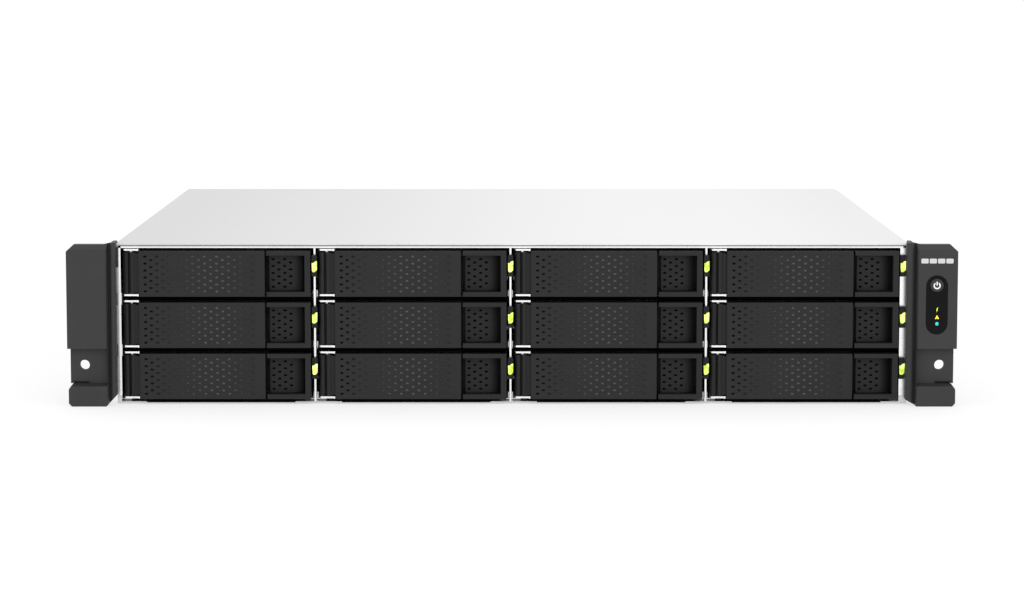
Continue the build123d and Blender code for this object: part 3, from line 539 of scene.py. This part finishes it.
def bezel_mesh():
    """The moulded tray front: recess frame at the right, windowed plate behind the handle."""
    bm = bmesh.new()
    x0, x1 = RECESS_X0, TRAY_W
    outer = [(x0, -FRONT_HALF_H), (x1, -FRONT_HALF_H), (x1, FRONT_HALF_H), (x0, FRONT_HALF_H),
             (x0, RECESS_Z[1]), (RECESS_INNER_X1, RECESS_Z[1]), (RECESS_INNER_X1, RECESS_Z[0]),
             (x0, RECESS_Z[0])]
    add_prism(bm, outer, 0, PLATE_Y[0], "Y")
    window = [rounded(12, 74, -8.5, 8.5, 1.0)]
    plate = rounded(0, TRAY_W, -FRONT_HALF_H, FRONT_HALF_H, 0.4)
    merge(bm, perforated_plate(plate, window, *PLATE_Y))
    return finish_mesh(bm, "bezel")


def recess_mesh():
    """A near-black sheet behind the latch: painted shade at the back of the recess."""
    bm = bmesh.new()
    add_block(bm, RECESS_X0 + 0.1, RECESS_INNER_X1 - 0.02, PLATE_Y[0] - 0.6, PLATE_Y[0] - 0.05,
              RECESS_Z[0] + 0.02, RECESS_Z[1] - 0.02)
    return finish_mesh(bm, "recess")


def hinge_mesh():
    """Two steel lugs with raised right ends, and the pin between them."""
    bm = bmesh.new()
    plan = [(0.3, 12.0), (0.3, 3.4), (0.9, 2.6), (2.0, 2.4), (8.9, 2.4), (8.9, 12.0)]
    for z0, z1 in ((-12.35, -11.25), (12.45, 13.5)):
        add_prism(bm, plan, z0, z1)
        add_prism(bm, rounded(7.7, 8.85, z0 - 0.12, z1 + 0.05, 0.25, 3), 2.2, 3.2, "Y")
    add_prism(bm, circle(BARREL[0], BARREL[1], 1.25, 24), -11.25, 12.45)
    return finish_mesh(bm, "hinge")


def sled_mesh():
    """The steel sled: front web, slotted side rails and rear strap, with its screws."""
    bm = bmesh.new()
    window = [rounded(14, 88, -8, 8, 1.5)]
    web = rounded(0, TRAY_W, -FRONT_HALF_H, FRONT_HALF_H, 0.3)
    y = PLATE_Y[1]
    merge(bm, perforated_plate(web, window, y, y + 0.8, 0.08))
    slots = [rounded(a, a + 22, -1, 4, 1.2) for a in (52, 92, 132)]
    outline = rounded(y + 0.8, SLED_Y1, -DRIVE_HALF_H, 9, 1.0)
    for x0 in (0, TRAY_W - SLED_T):
        side = perforated_plate(outline, slots, x0, x0 + SLED_T, 0.05)
        bmesh.ops.rotate(side, verts=side.verts, cent=(0, 0, 0), matrix=Matrix.Rotation(radians(90), 3, "Z"))
        bmesh.ops.scale(side, vec=(-1, 1, 1), verts=side.verts)
        merge(bm, side)
    add_block(bm, SLED_T, TRAY_W - SLED_T, SLED_Y1 - 1, SLED_Y1, -DRIVE_HALF_H, -11)
    z = -DRIVE_HALF_H + 6.35
    for y in (DRIVE_Y[0] + 28.5, DRIVE_Y[0] + 130.1):
        for x0, x1 in ((-0.8, 0), (TRAY_W, TRAY_W + 0.8)):
            add_prism(bm, circle(y, z, 2.4, 20), x0, x1, "X")
    return finish_mesh(bm, "sled")


def drive_mesh():
    """The drive's cast body."""
    bm = bmesh.new()
    x0 = SLED_T + 0.02
    x1 = TRAY_W - SLED_T - 0.02
    add_block(bm, x0, x1, DRIVE_Y[0], DRIVE_Y[1], -DRIVE_HALF_H, DRIVE_HALF_H - 1.2)
    return finish_mesh(bm, "drive")


def lid_mesh():
    """The drive's pressed lid, with its raised centre and six screws."""
    bm = bmesh.new()
    x0, x1 = SLED_T + 2, TRAY_W - SLED_T - 2
    y0, y1 = DRIVE_Y[0] + 2, DRIVE_Y[1] - 9
    z = DRIVE_HALF_H - 1.2
    add_prism(bm, rounded(x0, x1, y0, y1, 5.0, 5), z, z + 0.7)
    add_prism(bm, rounded(x0 + 8, x1 - 8, y0 + 9, y1 - 12, 12.0, 6), z + 0.7, z + 1.15)
    for x in (x0 + 4, x1 - 4):
        for y in (y0 + 4, (y0 + y1) / 2, y1 - 4):
            add_prism(bm, circle(x, y, 2.0, 18), z + 0.7, z + 1.1)
    return finish_mesh(bm, "lid")


def label_mesh():
    """A blank label on the lid."""
    bm = bmesh.new()
    z = DRIVE_HALF_H - 0.05
    add_prism(bm, rounded(22, 80, 44, 118, 2.0), z - 0.03, z + 0.04)
    return finish_mesh(bm, "label")


def make_trays():
    """Every bay's pieces share their meshes."""
    parts = (
        ("handle_panel", handle_mesh(), "handle", "handle_plastic", HANDLE, 0.0, "tray_handle"),
        ("handle_barrel", barrel_mesh(), "handle", "handle_plastic", BARREL_SHADED, 0.2, ""),
        ("handle_painted_light_backing", backing_mesh(), "handle", "black_plastic", PAINTED_LIGHT_BACKING, 0.0, ""),
        ("latch_paddle", latch_mesh(), "latch", "tray_plastic", LATCH, 0.0, "tray_latch"),
        ("tray_bezel", bezel_mesh(), "tray", "tray_plastic", BEZEL, 0.25, "tray"),
        ("recess_painted_shade", recess_mesh(), "tray", "black_plastic", BLACK, 0.0, ""),
        ("hinge_lugs", hinge_mesh(), "tray", "zinc_steel", BRIGHT, 0.12, ""),
        ("tray_sled", sled_mesh(), "tray", "zinc_steel", ZINC, 0.0, ""),
        ("drive_body", drive_mesh(), "tray", "aluminium", CAST, 0.6, ""),
        ("drive_lid", lid_mesh(), "tray", "aluminium", LID, 0.25, ""),
        ("drive_label", label_mesh(), "tray", "cover_paint", LABEL, 0.0, ""),
    )
    for number in BAYS:
        place = bay_origin(number)
        for name, mesh, body, slot, material, edge, node in parts:
            stands_for = [f"{node}_{number}"] if node else []
            piece(f"{name}_{number}", mesh, f"{body}_{number}", material, place, edge, stands_for)


# ------------------------------------------------------- bay front details

def make_light_pipes():
    """Black holders in front of the divider edges, each with a lit lens."""
    holders = bmesh.new()
    lenses = bmesh.new()
    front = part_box("light_pipes")[0].y / MM
    for number in BAYS:
        place = bay_origin(number) / MM
        x = place.x + DIVIDER_DX
        z = place.z
        add_prism(holders, rounded(x - 1.5, x + 1.5, z - 1.5, z + 10.2, 0.5), front + 1.0, front + 4.2, "Y")
        lens = [(x - 1.3, z + 6.0), (x - 0.4, z + 5.9), (x + 0.4, z + 6.8), (x + 1.5, z + 7.1),
                (x + 1.45, z + 2.2), (x + 0.4, z + 1.1), (x - 0.7, z + 1.0), (x - 1.15, z + 1.6)]
        add_prism(lenses, lens, front + 0.1, front + 1.0, "Y")
    piece("light_pipe_holders", finish_mesh(holders, "holders"), "chassis", BLACK, edge=0.2,
          stands_for=["light_pipes"])
    piece("light_pipe_lenses", finish_mesh(lenses, "lenses"), "chassis", GREEN_LENS, edge=0.15)


def make_row_gap_shade():
    """Near-black strips in the gaps between the rows: painted shade."""
    gap_shade = bmesh.new()
    y = CHASSIS_FRONT_Y
    for number in BAYS:
        if number in BOTTOM_BAYS:
            continue
        place = bay_origin(number) / MM
        top = place.z - DRIVE_HALF_H - 0.15
        add_block(gap_shade, place.x - 0.9, place.x + TRAY_W + 1.2, y + 0.4, y + 5.8, top - 1.2, top)
    piece("row_gap_shade", finish_mesh(gap_shade, "gap_shade"), "chassis", SHADE_BLACK)


def make_cover_seam():
    """A near-black strip under the cover's front edge: painted shade in the seam."""
    seam = bmesh.new()
    seam_x = COVER_NOSE_HALF_W - 1
    y = CHASSIS_FRONT_Y
    add_block(seam, -seam_x, seam_x, y - 0.25, y + 2, COVER_TOP_Z - 1.35, COVER_TOP_Z - 1.03)
    piece("cover_seam", finish_mesh(seam, "seam"), "chassis", SHADE_BLACK)


def make_flange_facings():
    """The bright faces of the chassis flanges beside the bays."""
    facings = bmesh.new()
    y = CHASSIS_FRONT_Y
    for x0, x1 in FLANGES_X:
        add_block(facings, x0, x1, y - 0.06, y + 0.2, *FLANGES_Z)
    piece("flange_facings", finish_mesh(facings, "facings"), "chassis", FACING, edge=0.02)


def make_front_gap_shade():
    """Near-black strips under the bottom row's handles: painted shade in the gap there."""
    front_shade_strips = bmesh.new()
    y = CHASSIS_FRONT_Y
    for number in BOTTOM_BAYS:
        x = bay_origin(number).x / MM
        shade_strip = [(x + 12.2, 0.7), (x + 93.8, 0.7), (x + 92.4, 2.25), (x + 13.2, 2.25)]
        add_prism(front_shade_strips, shade_strip, y - 0.5, y + 1.2, "Y")
    piece("front_gap_shade", finish_mesh(front_shade_strips, "front_shade_strips"), "chassis", SHADE_BLACK, edge=0.1)


def make_button():
    """The power button's cap and its symbol."""
    x = WINDOW_X
    front = EAR_FRONT_Y
    cap = bmesh.new()
    add_prism(cap, circle(x, BUTTON_Z, 3.7, 48), front + 0.06, front + 3.0, "Y")
    add_prism(cap, circle(x, BUTTON_Z, 2.0, 24), front + 3.0, front + 4.6, "Y")
    piece("button_cap", finish_mesh(cap, "cap"), "button", BUTTON, edge=0.35,
          stands_for=["power_button"])
    symbol = bmesh.new()
    symbol_y = (front + 0.02, front + 0.12)
    add_prism(symbol, band(x, BUTTON_Z - 0.1, 1.25, 1.95, 125, 415), *symbol_y, "Y")
    add_prism(symbol, rounded(x - 0.34, x + 0.34, BUTTON_Z, BUTTON_Z + 2.15, 0.2), *symbol_y, "Y")
    piece("button_symbol", finish_mesh(symbol, "symbol"), "button", ICON_WHITE)


def make_icons():
    """Three generic status icons in the window."""
    window_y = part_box("indicator_window")[0].y / MM
    x = WINDOW_X + 0.2
    bolt = [(x + 0.55, 54.1), (x, 54.1), (x - 0.5, 52.6), (x - 0.1, 52.6), (x - 0.45, 51.5),
            (x + 0.45, 53.0), (x + 0.1, 53.0)]
    triangle = [(x, 50.1), (x + 1.15, 47.9), (x + 0.4, 47.9), (x, 48.5), (x - 0.4, 47.9), (x - 1.15, 47.9)]
    for name, outline, material in (
            ("icon_activity", bolt, ICON_GREEN), ("icon_warning", triangle, ICON_YELLOW),
            ("icon_drive", rounded(x - 0.8, x + 0.8, 44.4, 46.2, 0.45), ICON_CYAN)):
        bm = bmesh.new()
        add_prism(bm, outline, window_y - 0.03, window_y + 0.1, "Y")
        piece(name, finish_mesh(bm, name), "chassis", material)


def make_badge():
    """A plain row of four bars on the right ear."""
    badge = bmesh.new()
    for step in range(4):
        left = 221.4 + 4.5 * step
        bar = rounded(left, left + 3.9, 78.2, 80.8, 0.5)
        add_prism(badge, bar, EAR_FRONT_Y - 0.01, EAR_FRONT_Y + 0.2, "Y")
    piece("plain_badge", finish_mesh(badge, "badge"), "chassis", BADGE)


# ------------------------------------------------------------------- cover

def cover_mesh():
    """The lid as one folded sheet: nose, flat top, side lips behind the ears, rear lip."""
    bend = COVER_HALF_W - COVER_NOSE_HALF_W
    lip = arc(-COVER_NOSE_HALF_W, COVER_TOP_Z - bend, bend, 180, 90, 5)
    left = [(-COVER_HALF_W, COVER_TOP_Z - 11.0)] + lip
    right = [(-x, z) for x, z in reversed(left)]
    nose_y, lip_y, rear_y = COVER_Y
    fold_y = rear_y - bend
    bm = bmesh.new()
    rows = []
    for y in (lip_y, fold_y):
        rows.append([bm.verts.new((x, y, z)) for x, z in left + right])
    count = len(left)
    for i in list(range(count - 1)) + list(range(count, 2 * count - 1)):
        bm.faces.new((rows[0][i], rows[0][i + 1], rows[1][i + 1], rows[1][i]))
    split = bm.verts.new((COVER_LIP_X1, fold_y, COVER_TOP_Z))
    bm.faces.new((rows[0][count - 1], rows[0][count], rows[1][count], split, rows[1][count - 1]))
    nose = [bm.verts.new((x, nose_y, COVER_TOP_Z)) for x in (-COVER_NOSE_HALF_W, COVER_NOSE_HALF_W)]
    bm.faces.new((nose[0], nose[1], rows[0][count], rows[0][count - 1]))
    tail = [bm.verts.new((x, rear_y, COVER_TOP_Z)) for x in (COVER_LIP_X1, COVER_NOSE_HALF_W)]
    bm.faces.new((split, rows[1][count], tail[1], tail[0]))
    fold = arc(fold_y, COVER_TOP_Z - bend, bend, 90, 0, 5)[1:] + [(rear_y, COVER_TOP_Z - 8.0)]
    before = (rows[1][count - 1], split)
    for y, z in fold:
        after = [bm.verts.new((x, y, z)) for x in (-COVER_NOSE_HALF_W, COVER_LIP_X1)]
        bm.faces.new((before[0], before[1], after[1], after[0]))
        before = after
    mesh = finish_mesh(bm, "cover")
    if sum(p.normal.z * p.area for p in mesh.polygons) < 0:
        mesh.flip_normals()
    return mesh


def make_cover():
    """The folded sheet, with its thickness, and its thumb screws."""
    lid = piece("cover_sheet", cover_mesh(), "cover", COVER, stands_for=["top_cover"])
    sheet = lid.modifiers.new("thickness", "SOLIDIFY")
    sheet.thickness = 1.0 * MM
    sheet.offset = -1
    sheet.use_even_offset = True
    soften(lid, 0.35, 60)
    screws = bmesh.new()
    z = COVER_SCREWS_Z
    y = COVER_Y[2]
    for x in COVER_SCREWS_X:
        knurl = []
        for i in range(48):
            r = 3.2 - 0.25 * (i % 2)
            knurl.append((x + r * cos(pi * i / 24), z + r * sin(pi * i / 24)))
        add_prism(screws, knurl, y + 0.8, y + 5.2, "Y")
        add_prism(screws, circle(x, z, 2.6, 32), y + 5.2, y + 5.9, "Y")
        add_prism(screws, circle(x, z, 3.0, 32), y, y + 0.8, "Y")
    piece("cover_screws", finish_mesh(screws, "screws"), "cover", CAST, edge=0.15)


# --------------------------------------------------------- CAD nodes shown

def dress(node, material, edge):
    """A CAD node keeps its shape and gets its material and soft edges."""
    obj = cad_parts[node]
    obj.data.materials.clear()
    obj.data.materials.append(material)
    weld = obj.modifiers.new("weld", "WELD")
    weld.merge_threshold = 0.00001
    soften(obj, edge)


def solids_of(node):
    """The CAD node's mesh in millimetres, and its separate solids as groups of faces with their boxes."""
    bm = bmesh.new()
    bm.from_mesh(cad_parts[node].data)
    bmesh.ops.scale(bm, vec=(1 / MM, 1 / MM, 1 / MM), verts=bm.verts)
    bmesh.ops.remove_doubles(bm, verts=bm.verts, dist=0.001)
    groups = []
    seen = set()
    for face in bm.faces:
        if face in seen:
            continue
        group = []
        waiting = [face]
        seen.add(face)
        while waiting:
            here = waiting.pop()
            group.append(here)
            for edge in here.edges:
                # An edge of more than two faces is where two solids touch
                joined = edge.link_faces if len(edge.link_faces) == 2 else ()
                for other in joined:
                    if other not in seen:
                        seen.add(other)
                        waiting.append(other)
        points = [vert.co for one in group for vert in one.verts]
        low = Vector([min(p[i] for p in points) for i in range(3)])
        high = Vector([max(p[i] for p in points) for i in range(3)])
        groups.append((group, low, high))
    return bm, groups


def recast(node, body, rules):
    """The CAD node's solids as visible pieces, one piece for each rule that takes any.

    A rule is (name, slot, material, edge, test). They are tried in order, and a solid goes to the first
    whose test takes its box."""
    bm, groups = solids_of(node)
    taken = {rule[0]: [] for rule in rules}
    for group, low, high in groups:
        name = next(rule[0] for rule in rules if rule[4](low, high))
        taken[name].extend(group)
    for name, slot, material, edge, _ in rules:
        if not taken[name]:
            continue
        copy = bmesh.new()
        new = {}
        for face in taken[name]:
            for vert in face.verts:
                if vert not in new:
                    new[vert] = copy.verts.new(vert.co)
            copy.faces.new([new[vert] for vert in face.verts])
        bmesh.ops.dissolve_limit(copy, angle_limit=radians(1), verts=copy.verts[:], edges=copy.edges[:])
        piece(name, finish_mesh(copy, name), body, material, edge=edge, stands_for=[node])
    bm.free()


def anything(low, high):
    """The test of a rule that takes every solid left."""
    return True


def make_inside():
    """Boards, fans and cooling, each solid in its own material."""
    recast("backplane", "chassis", (
        ("backplane_board", "circuit_board", BOARD, 0.1, lambda low, high: high.x - low.x > WIDE),
        ("backplane_sockets", "black_plastic", BLACK, 0.2, anything)))
    recast("fan_wall", "chassis", (
        ("fan_wall_sheet", "zinc_steel", ZINC, 0.15, lambda low, high: high.x - low.x > WIDE),
        ("fan_frames", "black_plastic", BLACK, 0.5, anything)))
    recast("mainboard", "chassis", (
        ("mainboard_board", "circuit_board", BOARD, 0.15, lambda low, high: high.x - low.x > WIDE),
        ("port_shells", "zinc_steel", BRIGHT, 0.2, lambda low, high: high.y > CHASSIS_REAR_Y - 0.1),
        ("board_posts", "zinc_steel", GOLD, 0.15, lambda low, high: high.z < BOARD_TOP_Z - 1),
        ("capacitors", "aluminium", ALUMINIUM, 0.6, lambda low, high: high.z > BOARD_TOP_Z + 10),
        ("board_chips", "black_plastic", BLACK, 0.2, anything)))
    recast("memory_modules", "chassis", (
        ("memory_boards", "circuit_board", BOARD, 0.1, lambda low, high: high.x - low.x < 2),
        ("memory_sockets", "black_plastic", BLACK, 0.2, anything)))


def make_memory_chips():
    """Chips on both sides of the memory boards."""
    chips = bmesh.new()
    for module in range(4):
        x = MODULE_X0 + MODULE_PITCH * module
        for step in range(9):
            y = CHIP_Y0 + CHIP_PITCH * step
            for side in (-1, 1):
                x0, x1 = sorted((x + side * 0.7, x + side * 1.7))
                add_block(chips, x0, x1, y, y + 9, BOARD_TOP_Z + 12, BOARD_TOP_Z + 26)
    piece("memory_chips", finish_mesh(chips, "chips"), "chassis", BLACK, edge=0.15)


def make_ports():
    """Dark liners, contacts and tongues inside the rear ports."""
    liners = bmesh.new()
    contacts = bmesh.new()
    back = CHASSIS_REAR_Y - 14
    for x in NETWORK_PORTS_X:
        z = BOARD_TOP_Z + 6.75
        add_block(liners, x - 5.9, x + 5.9, back + 0.05, back + 2.5, z - 5.15, z + 5.15)
        add_block(liners, x - 4.6, x + 4.6, back + 2.5, back + 9.5, z + 3.6, z + 5.15)
        for pin in range(8):
            px = x - 3.57 + 1.02 * pin
            add_block(contacts, px - 0.22, px + 0.22, back + 2.5, back + 9.0, z + 3.2, z + 3.6)
    for x in DATA_PORTS_X:
        z = BOARD_TOP_Z + 7.75
        add_block(liners, x - 6.4, x + 6.4, back + 0.05, back + 1.5, z - 2.7, z + 2.7)
        add_block(liners, x - 5.2, x + 5.2, back + 1.5, back + 11.5, z + 0.1, z + 1.9)
        for pin in range(4):
            px = x - 3.5 + 2.33 * pin
            add_block(contacts, px - 0.5, px + 0.5, back + 4.0, back + 11.0, z - 0.12, z + 0.1)
    piece("port_liners", finish_mesh(liners, "liners"), "chassis", BLACK, edge=0.12)
    piece("port_contacts", finish_mesh(contacts, "contacts"), "chassis", GOLD)


def make_rear_details():
    """Screw heads on the slot blanks and the rear panel's edge."""
    heads = bmesh.new()
    y = CHASSIS_REAR_Y
    for x, z in BLANK_SCREWS:
        add_prism(heads, circle(x, z, 2.6, 24), y + 1.0, y + 2.0, "Y")
    for x, z in PANEL_SCREWS:
        add_prism(heads, circle(x, z, 2.2, 24), y, y + 0.9, "Y")
    piece("rear_screws", finish_mesh(heads, "heads"), "chassis", BRIGHT, edge=0.25)


def psu_rules(number):
    """How a power supply's solids are told apart."""
    rear = CHASSIS_REAR_Y
    return (
        (f"psu_handle_{number}", "black_plastic", BLACK, 0.7,
         lambda low, high: low.y > rear - 0.1 and high.x - low.x < 5),
        (f"psu_pins_{number}", "zinc_steel", BRIGHT, 0.2,
         lambda low, high: high.x - low.x < 3 and high.y - low.y < 20),
        (f"psu_inlet_{number}", "black_plastic", BLACK, 0.4,
         lambda low, high: high.x - low.x < 28.5 and high.z - low.z < 22.5 and low.y < rear - 21),
        (f"psu_motor_{number}", "black_plastic", BLACK, 0.2,
         lambda low, high: high.y < rear - 5 and low.y > rear - 25),
        (f"psu_case_{number}", "zinc_steel", ZINC, 0.25, anything))


def finger_guard_mesh(x, z):
    """Wire rings over a power supply's fan, and the two bars that carry them."""
    guard = bmesh.new()
    y = CHASSIS_REAR_Y + 0.7
    for radius in GUARD_RADII:
        add_ring(guard, x, y, z, radius, 0.55)
    for turn in (45, 135):
        a = radians(turn)
        ends = [(x + along * cos(a) - aside * sin(a), z + along * sin(a) + aside * cos(a))
                for along, aside in ((-18.2, -0.5), (18.2, -0.5), (18.2, 0.5), (-18.2, 0.5))]
        add_prism(guard, ends, y + 0.2, y + 1.1, "Y")
    return finish_mesh(guard, "guard")


def lamp_mesh(x, z):
    """A power supply's round status lamp."""
    lamp = bmesh.new()
    add_prism(lamp, circle(x, z, 1.3, 20), CHASSIS_REAR_Y, CHASSIS_REAR_Y + 0.6, "Y")
    return finish_mesh(lamp, "lamp")


def make_power_supplies():
    """Steel cases with black inlets, handles and motors, each with a finger guard and a lamp."""
    for number, z0 in enumerate(PSU_ZS, 1):
        body = f"psu_body_{number}"
        recast(f"psu_{number}", body, psu_rules(number))
        guard = finger_guard_mesh(PSU_X0 + PSU_FAN_DX, z0 + PSU_FAN_DZ)
        piece(f"psu_finger_guard_{number}", guard, body, BRIGHT)
        lamp = lamp_mesh(PSU_X0 + 5.0, z0 + 4.0)
        piece(f"psu_lamp_{number}", lamp, body, ICON_GREEN, edge=0.2)


make_trays()
make_light_pipes()
make_row_gap_shade()
make_cover_seam()
make_flange_facings()
make_front_gap_shade()
make_button()
make_icons()
make_badge()
make_cover()
make_inside()
make_memory_chips()
make_ports()
make_rear_details()
make_power_supplies()
for node, material, edge in (
        ("chassis_base", ZINC, 0.2), ("drive_cage", BRIGHT, 0.15), ("bay_guides", ZINC, 0.1),
        ("cpu_heatsink", ALUMINIUM, 0.1), ("rear_panel", ZINC, 0.12), ("ear_left", EAR, 0.45),
        ("ear_right", EAR, 0.45), ("indicator_window", WINDOW, 0.2), ("fan_rotor_1", BLACK, 0.3),
        ("fan_rotor_2", BLACK, 0.3), ("fan_rotor_3", BLACK, 0.3), ("psu_latch_1", LEVER, 0.3),
        ("psu_latch_2", LEVER, 0.3), ("psu_fan_rotor_1", BLACK, 0.2), ("psu_fan_rotor_2", BLACK, 0.2)):
    dress(node, material, edge)


# ------------------------------------------------------------------- stage

def area_light(name, place, target, size, power):
    """A soft rectangular light aimed at a point."""
    light = bpy.data.lights.new(name, "AREA")
    light.shape = "RECTANGLE"
    light.size, light.size_y = size
    light.energy = power
    obj = bpy.data.objects.new(name, light)
    obj.location = place
    obj.rotation_euler = (Vector(target) - Vector(place)).to_track_quat("-Z", "Y").to_euler()
    bpy.context.scene.collection.objects.link(obj)


def make_stage():
    """A plain pale floor under soft white light."""
    world = bpy.data.worlds.new("studio")
    world.use_nodes = True
    world.node_tree.nodes["Background"].inputs["Color"].default_value = (1, 1, 1, 1)
    world.node_tree.nodes["Background"].inputs["Strength"].default_value = WORLD_STRENGTH
    bpy.context.scene.world = world
    bm = bmesh.new()
    bmesh.ops.create_grid(bm, x_segments=1, y_segments=1, size=FLOOR_HALF)
    floor_mesh = finish_mesh(bm, "floor")
    paint = moulded("floor_paint", (FLOOR_SHADE,) * 3, 0.9, grain=30, cloud=0.005, gloss=0.0)
    glow = paint.node_tree.nodes["Principled BSDF"].inputs
    glow["Emission Color"].default_value = grey(1.0)
    glow["Emission Strength"].default_value = FLOOR_GLOW
    floor_mesh.materials.append(paint)
    floor = bpy.data.objects.new("floor", floor_mesh)
    bpy.context.scene.collection.objects.link(floor)
    area_light("key", (0.8, -1.9, 0.9), (0.1, -0.2, 0.05), (1.6, 1.0), 5)
    area_light("fill", (-1.2, -1.8, 0.8), (0, -0.2, 0.05), (1.6, 1.0), 2)


def make_camera():
    """At the object's front, a little above it, looking down by about six degrees."""
    ear_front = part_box("ear_left")[0].y
    lens = bpy.data.cameras.new("camera")
    lens.lens = LENS
    lens.sensor_width = 36.0
    lens.clip_end = 200
    camera = bpy.data.objects.new("camera", lens)
    camera.location = (0, ear_front - CAMERA_AHEAD, CAMERA_Z)
    camera.rotation_euler = (radians(90 - CAMERA_TILT), 0, 0)
    bpy.context.scene.collection.objects.link(camera)
    bpy.context.scene.camera = camera


make_stage()
make_camera()
bpy.context.scene.view_settings.view_transform = "Standard"
bpy.context.view_layer.update()
